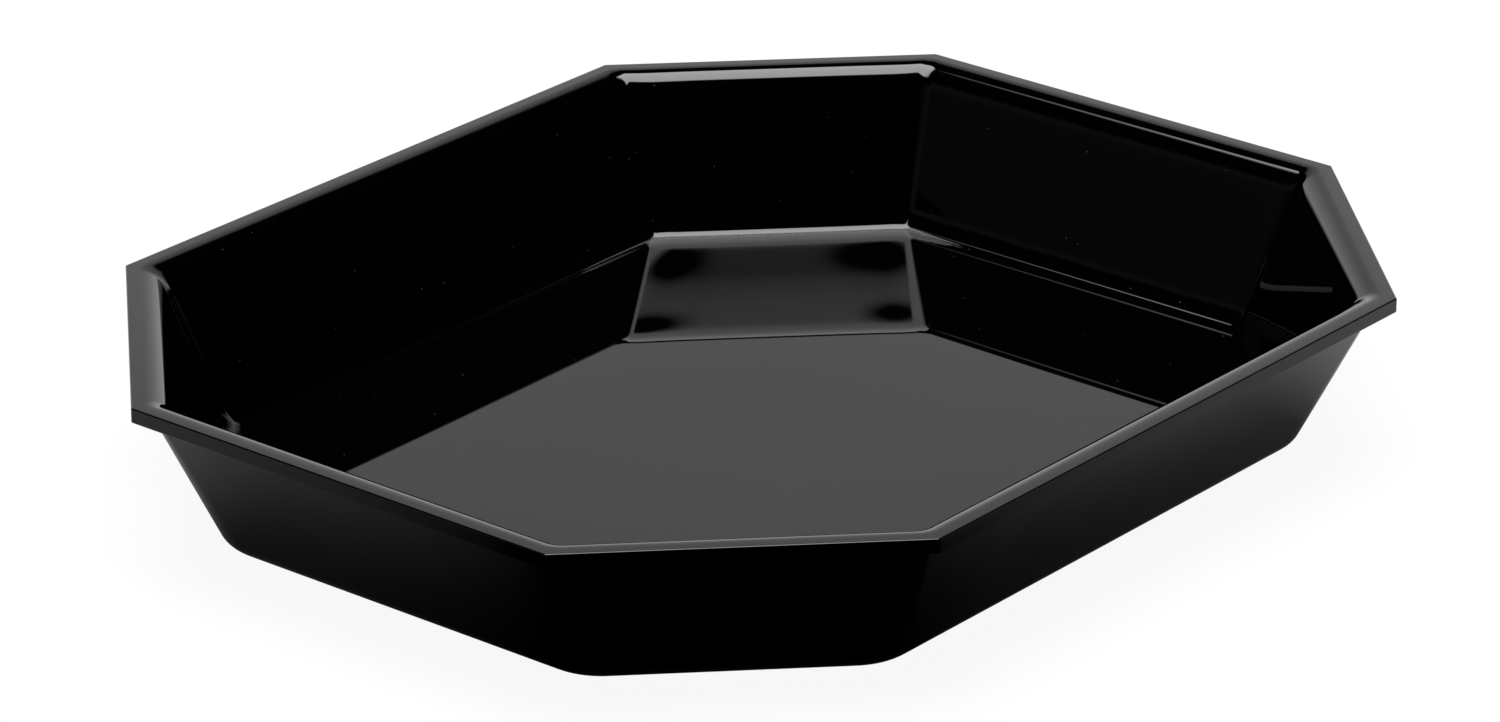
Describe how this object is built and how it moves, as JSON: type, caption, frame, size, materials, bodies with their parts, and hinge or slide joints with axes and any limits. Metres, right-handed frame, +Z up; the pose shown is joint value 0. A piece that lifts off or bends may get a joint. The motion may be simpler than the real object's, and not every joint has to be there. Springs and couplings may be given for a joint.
{
  "type": "octagonal serving tray",
  "caption": "Open eight-sided tray with sloping walls, a flat floor and a flat rim that overhangs the walls all round.",
  "frame": {"origin": "middle of the base, on the plane that the tray stands on", "axes": "+X along the tray's long side, +Y along its short side, +Z up out of its open top"},
  "size_m": [0.325, 0.268, 0.045],
  "materials": {
    "black_plastic": "moulded black plastic, mirror glossy inside, slightly softer outside"
  },
  "bodies": {
    "root": {"octagonal_tray": "black_plastic"}
  },
  "joints": []
}
